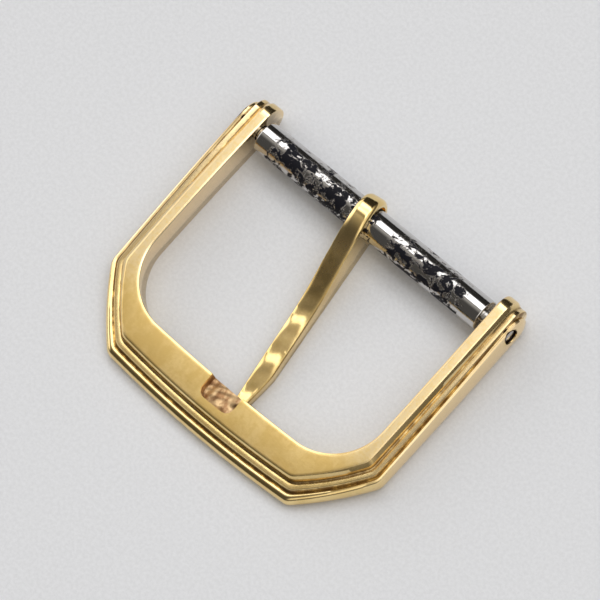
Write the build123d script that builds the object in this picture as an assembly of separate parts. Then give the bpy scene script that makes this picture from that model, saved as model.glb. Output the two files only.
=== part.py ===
from build123d import *
import math
import os

# A watch tang buckle for a 16 mm strap, in millimetres.
# X runs along the spring bar, +Y points from the crossbar to the bar, +Z is up.
# The origin is under the middle of the buckle, on the plane that it lies on.
# Places called AT or LENGTH on the frame and the tang are measured from the bar's axis.

# Driving sizes of the frame in plan: bowed sides, cut corners and a bowed crossbar.
# The corner cuts start BACK from the window's front and end IN from its side.
EAR_GAP = 16.06
EAR_THICKNESS = 1.58
WINDOW_LENGTH = 11.43
WINDOW_SIDE_BOW = 0.09
WINDOW_FRONT_BOW = 0.28
WINDOW_CORNER_RADIUS = 3.00
CROSSBAR_DEPTH = 2.87
SIDE_BOW = 0.06
FRONT_BOW = 0.28
CORNER_START_BACK = 1.23
CORNER_END_IN = 1.63
CORNER_BOW = 0.16

# Three tiers: the step in from the outer wall, as a share of the ear's thickness at the
# sides, and the step up from the tier below at the ears and at the front
PLATEAU_SIDE_SHARE = 0.386
PLATEAU_FRONT_INSET = 0.94
PLATEAU_STEP = 0.31
PLATEAU_FRONT_STEP = 0.46
PLATEAU_SLOPE_WIDTH = 0.30
PLATEAU_SLOPE_DROP = 0.25
LEDGE_SIDE_SHARE = 0.190
LEDGE_FRONT_INSET = 0.48
LEDGE_STEP = 0.06
LEDGE_FRONT_STEP = 0.20
LEDGE_SLOPE_WIDTH = 0.12
LEDGE_SLOPE_DROP = 0.08
OUTER_HEIGHT = 1.82
FRONT_SINK = 0.72
OUTER_SLOPE_WIDTH = 0.22
OUTER_SLOPE_DROP = 0.32
FOOT_SLOPE_WIDTH = 0.22
FOOT_SLOPE_RISE = 0.30
EAR_CENTRE_AT = 0.60
EAR_STEP = 0.125
WINDOW_EDGE_BEVEL = 0.12

# The spring bar: a tube with its ends rolled in, two sprung pivots and a coil spring
BAR_DIAMETER = 1.78
BAR_END_GAP = 0.23
BAR_WALL = 0.20
BAR_LIP_LENGTH = 0.30
BAR_END_ROUND = 0.14
PIVOT_DIAMETER = 0.80
PIVOT_CLEARANCE = 0.03
PIVOT_HEAD_LENGTH = 0.60
PIVOT_TIP_CHAMFER = 0.08
PIVOT_TIP_RECESS = 0.09
PIVOT_HOLE_CLEARANCE = 0.03
PIVOT_HOLE_WALL = 0.03
SPRING_WIRE = 0.16
SPRING_TURNS = 12
WIRE_SIDES = 6
SPRING_RADIAL_GAP = 0.06

# The tang: a ring on the bar and a blade that thins out to its tip
TANG_WIDTH = 1.07
TANG_BORE_CLEARANCE = 0.09
TANG_YAW = 8.0
TANG_FOOT_HEIGHT = 0.03
TANG_TIP_LAP = 0.72
TANG_TIP_HEIGHT = 0.68
TANG_TIP_WIDTH = 0.54
TANG_TIP_OFFSET = 1.13
TANG_TIP_SHIFT = 0.23
TANG_TAPER_LENGTH = 2.60
TANG_NECK_SHARE = 0.21
TANG_NECK_HEIGHT = 2.04
TANG_MIDDLE_SHARE = 0.41
TANG_MIDDLE_HEIGHT = 1.26
TANG_THIN_SHARE = 0.70
TANG_THIN_HEIGHT = 0.84

# The notch for the tang's tip, on top of the crossbar, and the relief for it beneath
RELIEF_TIP_GAP = 0.12
RELIEF_REACH = 1.70
RELIEF_CORNER_RADIUS = 0.60
NOTCH_WIDTH = 2.11
NOTCH_SIDE_GAP = 0.09
NOTCH_END_GAP = 0.50
NOTCH_FLOOR_THICKNESS = 0.40
NOTCH_CORNER_RADIUS = 0.45

# How far cutting bodies run past what they cut
OVERRUN = 2.00
# A face looks up when more than this share of its normal points up
UPWARD_SHARE = 0.9
# A point lies on an outline when it is nearer than this
TOUCH = 0.01

OUTER_WIDTH = EAR_GAP + 2 * EAR_THICKNESS
OUTER_FRONT_HEIGHT = OUTER_HEIGHT - FRONT_SINK
LEDGE_HEIGHT = OUTER_HEIGHT + LEDGE_STEP
LEDGE_FRONT_HEIGHT = OUTER_FRONT_HEIGHT + LEDGE_FRONT_STEP
PLATEAU_HEIGHT = LEDGE_HEIGHT + PLATEAU_STEP
PLATEAU_FRONT_HEIGHT = LEDGE_FRONT_HEIGHT + PLATEAU_FRONT_STEP
PLATEAU_SIDE_INSET = EAR_THICKNESS * PLATEAU_SIDE_SHARE
LEDGE_SIDE_INSET = EAR_THICKNESS * LEDGE_SIDE_SHARE
OUTER_LENGTH = WINDOW_LENGTH + CROSSBAR_DEPTH
EAR_END = EAR_CENTRE_AT + PLATEAU_HEIGHT / 2
BAR_Y = (OUTER_LENGTH - EAR_END) / 2
BAR_RADIUS = BAR_DIAMETER / 2
BAR_LENGTH = EAR_GAP - 2 * BAR_END_GAP
BAR_BORE_RADIUS = BAR_RADIUS - BAR_WALL
PIVOT_RADIUS = PIVOT_DIAMETER / 2
PIVOT_HOLE_RADIUS = PIVOT_RADIUS + PIVOT_HOLE_CLEARANCE
PIVOT_HEAD_RADIUS = BAR_BORE_RADIUS - PIVOT_CLEARANCE
PIVOT_HEAD_END = BAR_LENGTH / 2 - BAR_LIP_LENGTH - PIVOT_HEAD_LENGTH
BAR_HEIGHT = OUTER_HEIGHT - PIVOT_HOLE_WALL - PIVOT_HOLE_RADIUS
TANG_BORE_RADIUS = BAR_RADIUS + TANG_BORE_CLEARANCE
TANG_RING_RADIUS = BAR_HEIGHT - TANG_FOOT_HEIGHT
TANG_LENGTH = WINDOW_LENGTH + TANG_TIP_LAP
TANG_OFFSET = TANG_TIP_OFFSET - TANG_LENGTH * math.sin(math.radians(TANG_YAW))
RELIEF_WIDTH = EAR_GAP - 2 * WINDOW_CORNER_RADIUS
RELIEF_HEIGHT = TANG_TIP_HEIGHT + RELIEF_TIP_GAP
NOTCH_REACH = TANG_TIP_LAP + NOTCH_END_GAP
NOTCH_OFFSET = (
    TANG_TIP_OFFSET - TANG_TIP_SHIFT + TANG_TIP_WIDTH / 2 + NOTCH_SIDE_GAP - NOTCH_WIDTH / 2
)
NOTCH_FLOOR_HEIGHT = RELIEF_HEIGHT + NOTCH_FLOOR_THICKNESS


def flip(point):
    """The same point on the other side of the buckle's middle."""
    return (-point[0], point[1])


def bowed_outline(half_width, bow, side_at, front_half, front_at, front_bow, corner_bow):
    """Closed plan outline with bowed sides, bowed corner cuts and a bowed front."""
    back = (half_width, BAR_Y + 2 * EAR_END)
    side = (half_width, BAR_Y - side_at)
    front = (front_half, BAR_Y - front_at + front_bow)
    corner_run = math.hypot(side[0] - front[0], side[1] - front[1])
    corner_mid = (
        (side[0] + front[0]) / 2 + corner_bow * (side[1] - front[1]) / corner_run,
        (side[1] + front[1]) / 2 - corner_bow * (side[0] - front[0]) / corner_run,
    )
    side_mid = (half_width + bow, BAR_Y - side_at / 2)
    edges = [
        ThreePointArc(back, side_mid, side),
        ThreePointArc(side, corner_mid, front),
        ThreePointArc(front, (0, BAR_Y - front_at), flip(front)),
        ThreePointArc(flip(front), flip(corner_mid), flip(side)),
        ThreePointArc(flip(side), flip(side_mid), flip(back)),
        Line(flip(back), back),
    ]
    return make_face(edges)


def tier_plan(side_inset, front_inset):
    """Outer outline of one tier, stepped in from the outer wall."""
    corner_inset = (side_inset + front_inset) / 2 * math.tan(math.pi / 8)
    return bowed_outline(
        OUTER_WIDTH / 2 - side_inset,
        SIDE_BOW,
        WINDOW_LENGTH - CORNER_START_BACK - corner_inset,
        EAR_GAP / 2 - CORNER_END_IN - corner_inset,
        OUTER_LENGTH - front_inset,
        FRONT_BOW,
        CORNER_BOW,
    )


def tier_profile(ear_centre_at, ear_height, front_height):
    """Side view of one tier: round ear, flat foot, and a top that sinks towards the front."""
    radius = ear_height / 2
    centre = BAR_Y + ear_centre_at
    front = BAR_Y - OUTER_LENGTH - OVERRUN
    span = centre - front
    drop = (ear_height - front_height) * (span / (span - OVERRUN)) ** 2
    edges = [
        Line((front, 0), (centre, 0)),
        ThreePointArc((centre, 0), (centre + radius, radius), (centre, ear_height)),
        ThreePointArc(
            (centre, ear_height), (centre - span / 2, ear_height - drop / 4), (front, ear_height - drop)
        ),
        Line((front, ear_height - drop), (front, 0)),
    ]
    return Plane.YZ * make_face(edges)


def top_face(solid):
    """The arched top of a tier: the largest face that looks up."""
    return max((f for f in solid.faces() if f.normal_at(None).Z > UPWARD_SHARE), key=lambda f: f.area)


def bottom_face(solid):
    """The flat foot of a tier."""
    return max((f for f in solid.faces() if f.normal_at(None).Z < -UPWARD_SHARE), key=lambda f: f.area)


def slope_rim(solid, face, width, depth):
    """Slope off the curved rim of a face: width across the face, depth down the wall."""
    rim = [edge for edge in face.edges() if edge.geom_type != GeomType.LINE]
    return chamfer(rim, width, depth, reference=face)


def tier(side_inset, front_inset, ear_centre_at, ear_height, front_height, slope_width, slope_drop):
    """One tier: plan and side view crossed, with its outer edge sloped down."""
    plan = extrude(tier_plan(side_inset, front_inset), ear_height + OVERRUN)
    side = extrude(tier_profile(ear_centre_at, ear_height, front_height), OUTER_WIDTH, both=True)
    solid = plan & side
    return slope_rim(solid, top_face(solid), slope_width, slope_drop)


def window_plan():
    """The opening between the ears: bowed sides, bowed crossbar and round corners."""
    half = EAR_GAP / 2
    side_mid = (half + WINDOW_SIDE_BOW, BAR_Y - WINDOW_LENGTH / 2)
    corner = (half, BAR_Y - WINDOW_LENGTH + WINDOW_FRONT_BOW)
    back = (half, BAR_Y + 2 * EAR_END)
    edges = [
        ThreePointArc(back, side_mid, corner),
        ThreePointArc(corner, (0, BAR_Y - WINDOW_LENGTH), flip(corner)),
        ThreePointArc(flip(corner), flip(side_mid), flip(back)),
        Line(flip(back), back),
    ]
    plan = make_face(edges)
    return fillet(plan.vertices().sort_by(Axis.Y)[:2], WINDOW_CORNER_RADIUS)


def pocket(width, reach, offset, corner_radius, low, high):
    """A round-cornered cutting body that enters the crossbar from the window."""
    start = BAR_Y - WINDOW_LENGTH + WINDOW_FRONT_BOW + OVERRUN
    end = BAR_Y - WINDOW_LENGTH - reach
    plan = Pos(offset, (start + end) / 2) * Rectangle(width, start - end)
    plan = fillet(plan.vertices().sort_by(Axis.Y)[:2], corner_radius)
    return Pos(0, 0, low) * extrude(plan, high - low)


def window_top_edges(solid, window):
    """Edges where the tops of the tiers meet the window's wall."""
    wall = window.face().outer_wire()
    found = []
    for edge in top_face(solid).edges():
        middle = edge @ 0.5
        if Vertex(middle.X, middle.Y, 0).distance_to(wall) < TOUCH:
            found.append(edge)
    return found


def make_frame():
    outer = tier(
        0,
        0,
        EAR_CENTRE_AT - 2 * EAR_STEP,
        OUTER_HEIGHT,
        OUTER_FRONT_HEIGHT,
        OUTER_SLOPE_WIDTH,
        OUTER_SLOPE_DROP,
    )
    outer = slope_rim(outer, bottom_face(outer), FOOT_SLOPE_WIDTH, FOOT_SLOPE_RISE)
    ledge = tier(
        LEDGE_SIDE_INSET,
        LEDGE_FRONT_INSET,
        EAR_CENTRE_AT - EAR_STEP,
        LEDGE_HEIGHT,
        LEDGE_FRONT_HEIGHT,
        LEDGE_SLOPE_WIDTH,
        LEDGE_SLOPE_DROP,
    )
    plateau = tier(
        PLATEAU_SIDE_INSET,
        PLATEAU_FRONT_INSET,
        EAR_CENTRE_AT,
        PLATEAU_HEIGHT,
        PLATEAU_FRONT_HEIGHT,
        PLATEAU_SLOPE_WIDTH,
        PLATEAU_SLOPE_DROP,
    )
    window = window_plan()
    opening = Pos(0, 0, -OVERRUN) * extrude(window, PLATEAU_HEIGHT + 2 * OVERRUN)
    frame = (plateau + ledge + outer) - opening
    frame = chamfer(window_top_edges(frame, window), WINDOW_EDGE_BEVEL)
    notch_top = PLATEAU_HEIGHT + OVERRUN
    frame -= pocket(
        NOTCH_WIDTH, NOTCH_REACH, NOTCH_OFFSET, NOTCH_CORNER_RADIUS, NOTCH_FLOOR_HEIGHT, notch_top
    )
    frame -= pocket(RELIEF_WIDTH, RELIEF_REACH, 0, RELIEF_CORNER_RADIUS, -OVERRUN, RELIEF_HEIGHT)
    start = EAR_GAP / 2 - PIVOT_HOLE_RADIUS
    hole = Plane.YZ * Pos(BAR_Y, BAR_HEIGHT, start) * Circle(PIVOT_HOLE_RADIUS)
    right_hole = extrude(hole, EAR_THICKNESS + OVERRUN)
    return frame - right_hole - mirror(right_hole, Plane.YZ)


def on_bar(profile):
    """Turn a profile drawn as (along the bar, out from its axis) about the bar's axis."""
    turned = revolve(Plane.XZ * profile, Axis.X)
    return Pos(0, BAR_Y, BAR_HEIGHT) * turned


def make_spring_bar_tube():
    """The tube, with both ends rolled in to a lip that keeps the pivots in."""
    half = BAR_LENGTH / 2
    lip_radius = PIVOT_RADIUS + PIVOT_CLEARANCE
    outline = Polyline(
        (-half, lip_radius),
        (-half, BAR_RADIUS),
        (half, BAR_RADIUS),
        (half, lip_radius),
        (half - BAR_LIP_LENGTH, lip_radius),
        (half - BAR_LIP_LENGTH, BAR_BORE_RADIUS),
        (BAR_LIP_LENGTH - half, BAR_BORE_RADIUS),
        (BAR_LIP_LENGTH - half, lip_radius),
        close=True,
    )
    section = make_face(outline)
    corners = [v for v in section.vertices() if v.Y > BAR_RADIUS - TOUCH]
    return on_bar(fillet(corners, BAR_END_ROUND))


def make_pivot(side):
    """A pivot: a thin pin that reaches into the ear, and a head that stays in the tube."""
    tip = OUTER_WIDTH / 2 - PIVOT_TIP_RECESS
    shoulder = BAR_LENGTH / 2 - BAR_LIP_LENGTH
    outline = Polyline(
        (PIVOT_HEAD_END, 0),
        (PIVOT_HEAD_END, PIVOT_HEAD_RADIUS),
        (shoulder, PIVOT_HEAD_RADIUS),
        (shoulder, PIVOT_RADIUS),
        (tip - PIVOT_TIP_CHAMFER, PIVOT_RADIUS),
        (tip, PIVOT_RADIUS - PIVOT_TIP_CHAMFER),
        (tip, 0),
        close=True,
    )
    pivot = on_bar(make_face(outline))
    return pivot if side > 0 else mirror(pivot, Plane.YZ)


def helix_point(turn, pitch, radius):
    """Place and direction on a helix along X, after a number of turns."""
    angle = 2 * math.pi * turn
    place = Vector(turn * pitch, radius * math.cos(angle), radius * math.sin(angle))
    rise = pitch / (2 * math.pi)
    return place, Vector(rise, -radius * math.sin(angle), radius * math.cos(angle)).normalized()


def biarc(start, start_way, end, end_way):
    """Two arcs that join two points smoothly, each tangent to the wire's direction there."""
    chord = end - start
    along = chord.dot(start_way + end_way)
    turn = 2 * (1 - start_way.dot(end_way))
    reach = (math.sqrt(along * along + turn * chord.dot(chord)) - along) / turn
    joint = (start + end + (start_way - end_way) * reach) / 2
    joint_way = (end - start - (start_way + end_way) * reach).normalized()
    return TangentArc(start, joint, tangent=start_way), TangentArc(joint, end, tangent=joint_way)


def make_bar_spring():
    """The coil spring between the pivot heads: one unbroken six-sided wire on half-turn biarcs."""
    coil_radius = BAR_BORE_RADIUS - SPRING_RADIAL_GAP - SPRING_WIRE / 2
    length = 2 * PIVOT_HEAD_END - SPRING_WIRE
    pitch = length / SPRING_TURNS
    print(f"bar_spring: least gap between turns {pitch - SPRING_WIRE:.2f} mm")
    marks = [helix_point(half / 2, pitch, coil_radius) for half in range(2 * SPRING_TURNS + 1)]
    arcs = []
    for (start, start_way), (end, end_way) in zip(marks, marks[1:]):
        arcs.extend(biarc(start, start_way, end, end_way))
    path = Wire([arc.edge() for arc in arcs])
    section = Plane(origin=marks[0][0], z_dir=marks[0][1]) * RegularPolygon(SPRING_WIRE / 2, WIRE_SIDES)
    return Pos(-length / 2, BAR_Y, BAR_HEIGHT) * sweep(section, path)


def tang_profile():
    """Side view of the tang: ring, flat foot and a top line that thins out to the tip."""
    ring = Pos(0, BAR_HEIGHT) * Circle(TANG_RING_RADIUS)
    foot = TANG_FOOT_HEIGHT
    top = Spline(
        (0, BAR_HEIGHT + TANG_RING_RADIUS),
        (-TANG_LENGTH * TANG_NECK_SHARE, TANG_NECK_HEIGHT),
        (-TANG_LENGTH * TANG_MIDDLE_SHARE, TANG_MIDDLE_HEIGHT),
        (-TANG_LENGTH * TANG_THIN_SHARE, TANG_THIN_HEIGHT),
        (-TANG_LENGTH, TANG_TIP_HEIGHT),
        tangents=((-1, 0), (-1, 0)),
    )
    blade = make_face(
        [
            top,
            Line((-TANG_LENGTH, TANG_TIP_HEIGHT), (-TANG_LENGTH, foot)),
            Line((-TANG_LENGTH, foot), (0, foot)),
            Line((0, foot), (0, BAR_HEIGHT + TANG_RING_RADIUS)),
        ]
    )
    return Plane.YZ * (ring + blade)


def tang_plan():
    """Plan view of the tang: parallel sides that taper to a round-cornered tip, worn to the left."""
    half = TANG_WIDTH / 2
    tip = TANG_TIP_WIDTH / 2
    back = TANG_RING_RADIUS + OVERRUN
    outline = Polyline(
        (half, back),
        (half, TANG_TAPER_LENGTH - TANG_LENGTH),
        (tip - TANG_TIP_SHIFT, -TANG_LENGTH),
        (-tip - TANG_TIP_SHIFT, -TANG_LENGTH),
        (-half, TANG_TAPER_LENGTH - TANG_LENGTH),
        (-half, back),
        close=True,
    )
    plan = make_face(outline)
    corners = plan.vertices().sort_by(Axis.Y)[:2]
    return fillet(corners, tip / 2)


def make_tang():
    """The tang lies across the buckle at the small angle that its loose ring allows."""
    body = extrude(tang_profile(), TANG_WIDTH, both=True)
    body &= extrude(tang_plan(), BAR_HEIGHT + TANG_RING_RADIUS + OVERRUN)
    bore = Plane.YZ * Pos(0, BAR_HEIGHT) * Circle(TANG_BORE_RADIUS)
    body -= extrude(bore, TANG_WIDTH, both=True)
    return Pos(TANG_OFFSET, BAR_Y, 0) * Rot(0, 0, TANG_YAW) * body


def main():
    pieces = {
        "buckle_frame": make_frame(),
        "tang": make_tang(),
        "spring_bar_tube": make_spring_bar_tube(),
        "left_pivot": make_pivot(-1),
        "right_pivot": make_pivot(1),
        "bar_spring": make_bar_spring(),
    }
    for name, solid in pieces.items():
        solid.label = name
        export_step(solid, f"parts/{name}.step")
        box = solid.bounding_box()
        print(name, len(solid.solids()), round(solid.volume, 3), box.min, box.max)


os.makedirs("parts", exist_ok=True)
main()
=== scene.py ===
import math
from types import SimpleNamespace

import bmesh
import bpy
import numpy as np
from bpy.props import FloatProperty, FloatVectorProperty, IntProperty, PointerProperty
from bpy.types import Operator, Panel, PropertyGroup
from mathutils import Matrix, Vector


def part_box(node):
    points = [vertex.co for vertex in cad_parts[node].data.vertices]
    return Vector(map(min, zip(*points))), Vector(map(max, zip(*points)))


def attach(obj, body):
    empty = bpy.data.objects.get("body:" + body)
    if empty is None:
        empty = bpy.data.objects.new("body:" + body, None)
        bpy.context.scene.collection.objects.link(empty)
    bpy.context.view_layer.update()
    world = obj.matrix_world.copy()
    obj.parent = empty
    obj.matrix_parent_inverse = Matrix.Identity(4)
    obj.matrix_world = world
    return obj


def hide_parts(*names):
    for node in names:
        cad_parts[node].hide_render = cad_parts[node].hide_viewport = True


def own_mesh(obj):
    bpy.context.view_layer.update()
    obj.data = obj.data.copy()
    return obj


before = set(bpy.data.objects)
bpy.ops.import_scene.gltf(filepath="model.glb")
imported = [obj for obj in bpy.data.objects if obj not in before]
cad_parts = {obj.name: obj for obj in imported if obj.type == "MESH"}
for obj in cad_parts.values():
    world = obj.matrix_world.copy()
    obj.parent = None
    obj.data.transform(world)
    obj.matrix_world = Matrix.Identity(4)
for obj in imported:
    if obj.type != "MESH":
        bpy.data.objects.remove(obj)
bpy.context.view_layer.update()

bl_info = {
    "name": "Watch Tang Buckle",
    "version": (1, 0, 0),
    "blender": (4, 5, 0),
    "location": "3D View > Sidebar > Buckle",
    "description": "Dresses the packed tang buckle: stepped gold frame, tang, spring bar and stage",
    "category": "Object",
}

MM = 0.001
# Edges are sharp past this angle, in degrees
SHARP_ANGLE = 30
# How far cutters run past what they cut, in millimetres
OVERRUN = 1.0


def millimetres(group):
    """All the lengths of a property group, in millimetres."""
    found = {}
    for prop in group.bl_rna.properties:
        if prop.type == "FLOAT" and prop.unit == "LENGTH":
            found[prop.identifier] = getattr(group, prop.identifier) / MM
    return SimpleNamespace(**found)


def length(name, description, size):
    """A length property whose default is given in millimetres."""
    return FloatProperty(
        name=name, description=description, default=size * MM, unit="LENGTH", precision=6
    )


def colour(name, description, rgb):
    """A colour property, with linear values."""
    return FloatVectorProperty(
        name=name, description=description, default=rgb, subtype="COLOR", size=3, min=0, max=1
    )


# The plan lines of the frame and the tang are measured from the spring bar's axis
BAR_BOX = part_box("spring_bar_tube")
BAR_Y = (BAR_BOX[0][1] + BAR_BOX[1][1]) / 2 / MM
BAR_Z = (BAR_BOX[0][2] + BAR_BOX[1][2]) / 2 / MM


class BuckleFrameSizes(PropertyGroup):
    ear_gap: length("Ear gap", "Distance between the inner walls at the bar", 16.06)
    ear_thickness: length("Ear thickness", "From the inner wall to the outer wall", 1.58)
    window_length: length("Window length", "From the bar's axis to the crossbar", 11.43)
    window_side_bow: length("Window side bow", "How far the inner walls bow out", 0.09)
    window_front_bow: length("Window front bow", "How far the crossbar's edge bows out", 0.28)
    window_radius: length("Window corner radius", "Radius of the window's two corners", 3.30)
    crossbar_depth: length("Crossbar depth", "Front to back size of the crossbar", 2.87)
    side_bow: length("Side bow", "How far the outer sides bow out", 0.06)
    front_bow: length("Front bow", "How far the front bows out", 0.28)
    corner_bow: length("Corner bow", "How far the corner cuts bow out", 0.16)
    corner_start: length("Corner start", "Start of the corner cut, back from the window's front", 1.23)
    corner_end: length("Corner end", "Where the corner cut ends, in from the window's side", 1.63)
    corner_softness: length("Corner softness", "Rounding at each corner of the cut", 0.24)
    plateau_side: length("Plateau side inset", "From the outer side to the top step", 0.94)
    plateau_front: length("Plateau front inset", "From the outer front to the top step", 1.08)
    ledge_side: length("Ledge side inset", "From the outer side to the ledge's ridge", 0.47)
    ledge_front: length("Ledge front inset", "From the outer front to the ledge's ridge", 0.66)
    bead_side: length("Bead side width", "Width of the outer bead at the sides", 0.36)
    bead_front: length("Bead front width", "Width of the outer bead at the front", 0.50)
    plateau_height: length("Plateau height", "Height of the top tier at the ears", 2.18)
    plateau_sunk: length("Plateau front height", "Height of the top tier at the front", 1.62)
    ledge_height: length("Ledge height", "Height of the ledge at the ears", 1.90)
    ledge_sunk: length("Ledge front height", "Height of the ledge at the front", 0.97)
    bead_height: length("Bead height", "Height of the outer bead at the ears", 1.88)
    bead_sunk: length("Bead front height", "Height of the outer bead at the front", 0.82)
    plateau_end: length("Plateau end", "Where the plateau's round end has its centre", 0.60)
    ledge_end: length("Ledge end", "Where the ledge's round end has its centre", 0.64)
    bead_end: length("Bead end", "Where the bead's round end has its centre", 0.32)
    edge: length("Edge", "Radius of the worn lower edge", 0.05)
    notch_width: length("Notch width", "Width of the tang's notch", 2.11)
    notch_offset: length("Notch offset", "How far the notch lies beside the middle", 0.205)
    notch_reach: length("Notch reach", "How far the notch reaches into the crossbar", 1.22)
    notch_floor: length("Notch floor", "Height of the notch's floor", 1.20)
    notch_corner: length("Notch corner", "Radius of the notch's corners", 0.45)
    relief_width: length("Relief width", "Width of the hollow under the crossbar", 10.06)
    relief_reach: length("Relief reach", "How far the hollow reaches into the crossbar", 1.70)
    relief_height: length("Relief height", "Height of the hollow under the crossbar", 0.80)
    relief_corner: length("Relief corner", "Radius of the hollow's corners", 0.60)
    hole_play: length("Hole play", "Play between a pivot and its hole", 0.04)


class TangSizes(PropertyGroup):
    width: length("Width", "Width of the tang's blade", 1.07)
    yaw: FloatProperty(
        name="Yaw",
        description="How far the tang is turned on the loose bar",
        default=math.radians(8.0),
        unit="ROTATION",
    )
    overlap: length("Overlap", "How far the tip reaches under the crossbar", 0.72)
    tip_offset: length("Tip offset", "From the buckle's middle to the blade's, at the tip", 1.13)
    tip_shift: length("Tip shift", "How far left of the blade's middle the worn tip lies", 0.23)
    tip_width: length("Tip width", "Width of the blunt tip", 0.54)
    tip_round: length("Tip round", "Radius of the tip's rounding", 0.12)
    taper: length("Taper", "Length over which the tip narrows", 2.60)
    neck_height: length("Neck height", "Height of the blade near the ring", 2.04)
    middle_height: length("Middle height", "Height of the blade part way", 1.26)
    thin_height: length("Thin height", "Height where the blade is thin", 0.90)
    tip_height: length("Tip height", "Height of the tip", 0.68)
    wave: length("Wave", "Depth of the hand-filed waves along the top", 0.029)
    wave_length: length("Wave length", "Distance from wave to wave", 2.45)
    foot: length("Foot", "Gap under the tang", 0.03)
    bore_gap: length("Bore gap", "Play between the ring and the bar", 0.09)


class SpringBarSizes(PropertyGroup):
    pivot_diameter: length("Pivot diameter", "Diameter of the sprung pins", 0.80)
    head_length: length("Head length", "Length of the pivot's head inside the tube", 0.60)
    wall: length("Wall", "Thickness of the tube's wall", 0.20)
    lip: length("Lip", "Length of the rolled lip at each end", 0.30)
    end_round: length("End round", "Radius of the rolled edge", 0.08)
    wire: length("Wire", "Diameter of the coil spring's wire", 0.16)
    spring_gap: length("Spring gap", "Play between the coil spring and the tube's bore", 0.06)
    turns: IntProperty(name="Turns", description="Turns of each half of the spring", default=6)
    push: length("Push", "How far a pivot can be pushed in", 1.56)
    clearance: length("Clearance", "Play between the moving parts of the bar", 0.03)


class BuckleColours(PropertyGroup):
    gold: colour("Gold", "Plating where it is polished", (0.95, 0.73, 0.35))
    # Pale gold on the arms' walls and tops: a painted reflection of the bright board and a painted
    # highlight
    pale_gold: colour("Pale gold", "Plating along the arms", (0.93, 0.73, 0.45))
    # Deep gold: plating worn dull, and on the crossbar's satin top a painted shade
    deep_gold: colour("Deep gold", "Plating where it is worn dull", (0.72, 0.50, 0.175))
    # Satin gold: the arms' satin top, a lit copy of the crossbar's deep satin, so a painted highlight
    satin_gold: colour("Satin gold", "Brushed plating on top of the arms", (0.66, 0.52, 0.30))
    # Grime: dirt and painted shade in the grooves at the steps' feet, and painted shade on the tang's
    # neck
    grime_and_shade: colour("Grime", "Dirt in the grooves", (0.26, 0.16, 0.07))
    # Soot: dirt and painted shade on the ears round the pivots, and painted shade inside their holes
    soot_and_shade: colour("Soot", "Black dirt round the pivots", (0.030, 0.018, 0.014))
    copper: colour("Copper", "Bare metal in the worn notch", (0.62, 0.43, 0.23))
    burnt: colour("Burnt copper", "Dark patches in the notch", (0.28, 0.15, 0.07))
    steel: colour("Steel", "Clean metal of the spring bar", (0.62, 0.61, 0.60))
    stain: colour("Stain", "Dull patches on the spring bar", (0.40, 0.36, 0.32))
    tarnish: colour("Tarnish", "Black flakes on the spring bar", (0.008, 0.008, 0.012))
    floor: colour("Floor", "The board that the buckle lies on", (0.720, 0.732, 0.758))


# Mesh helpers


def grid_faces(rows, columns):
    """Quads of a grid whose columns wrap round, as corner numbers."""
    row, column = np.meshgrid(np.arange(rows - 1), np.arange(columns), indexing="ij")
    here = row * columns + column
    beside = row * columns + (column + 1) % columns
    return np.stack([here, beside, beside + columns, here + columns], axis=-1).reshape(-1, 4)


def closed_mesh(name, points, faces, sharp=SHARP_ANGLE, marks=None):
    """Object with a closed mesh from points in millimetres.

    marks holds a value for each point under a name, which the piece's material reads.
    """
    mesh = bpy.data.meshes.new(name)
    mesh.from_pydata((points * MM).tolist(), [], faces)
    for mark, values in (marks or {}).items():
        mesh.attributes.new(mark, "FLOAT", "POINT").data.foreach_set("value", values.ravel())
    piece = bpy.data.objects.new(name, mesh)
    bpy.context.scene.collection.objects.link(piece)
    tidy_mesh(mesh, sharp)
    return piece


def tidy_mesh(mesh, sharp=SHARP_ANGLE):
    """Merge doubles, turn the faces outwards, and shade smoothly up to an angle in degrees."""
    shell = bmesh.new()
    shell.from_mesh(mesh)
    bmesh.ops.remove_doubles(shell, verts=shell.verts, dist=2e-4 * MM)
    bmesh.ops.dissolve_degenerate(shell, edges=shell.edges, dist=1e-4 * MM)
    bmesh.ops.recalc_face_normals(shell, faces=shell.faces)
    if shell.calc_volume(signed=True) < 0:
        bmesh.ops.reverse_faces(shell, faces=shell.faces)
    shell.to_mesh(mesh)
    shell.free()
    mesh.polygons.foreach_set("use_smooth", np.ones(len(mesh.polygons), bool))
    mesh.set_sharp_from_angle(angle=math.radians(sharp))


def cut(piece, cutters):
    """Cut closed bodies out of a piece and drop them."""
    for cutter in cutters:
        step = piece.modifiers.new("cut", "BOOLEAN")
        step.operation = "DIFFERENCE"
        step.solver = "EXACT"
        step.object = cutter
    shaped = piece.evaluated_get(bpy.context.evaluated_depsgraph_get())
    mesh = bpy.data.meshes.new_from_object(shaped)
    piece.modifiers.clear()
    piece.data = mesh
    mesh.name = piece.name
    for cutter in cutters:
        bpy.data.objects.remove(cutter)
    tidy_mesh(mesh)


def turned(name, profile, sides=96):
    """Closed surface of revolution: a closed profile carried round the spring bar's axis.

    Each point of the profile is (place along the bar, distance from its axis).
    """
    line = np.array(profile, float)
    angle = np.linspace(0, 2 * math.pi, sides, endpoint=False)
    points = np.stack(
        np.broadcast_arrays(
            line[None, :, 0],
            BAR_Y + line[None, :, 1] * np.cos(angle)[:, None],
            BAR_Z + line[None, :, 1] * np.sin(angle)[:, None],
        ),
        axis=-1,
    )
    points = np.concatenate([points, points[:1]])
    faces = grid_faces(sides + 1, len(line)).tolist()
    return closed_mesh(name, points.reshape(-1, 3), faces)


def arc_line(centre, radius, first, last, steps):
    """Points on an arc, from one angle to another, in degrees."""
    angle = np.radians(np.linspace(first, last, steps))
    return np.array(centre) + radius * np.stack([np.cos(angle), np.sin(angle)], axis=-1)


# Buckle frame

# Steps along a line of the frame: round the ear, side, each soft turn, corner and half the front
CAP_ROWS = 12
SIDE_ROWS = 30
SOFT_ROWS = 5
CORNER_ROWS = 14
FRONT_ROWS = 20
# Share of the window's rounding that its first and last few steps take
SOFT_TURN_SHARE = 0.15
# Rounds of working out where the rounding touches both sides
CORNER_PASSES = 8


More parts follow.
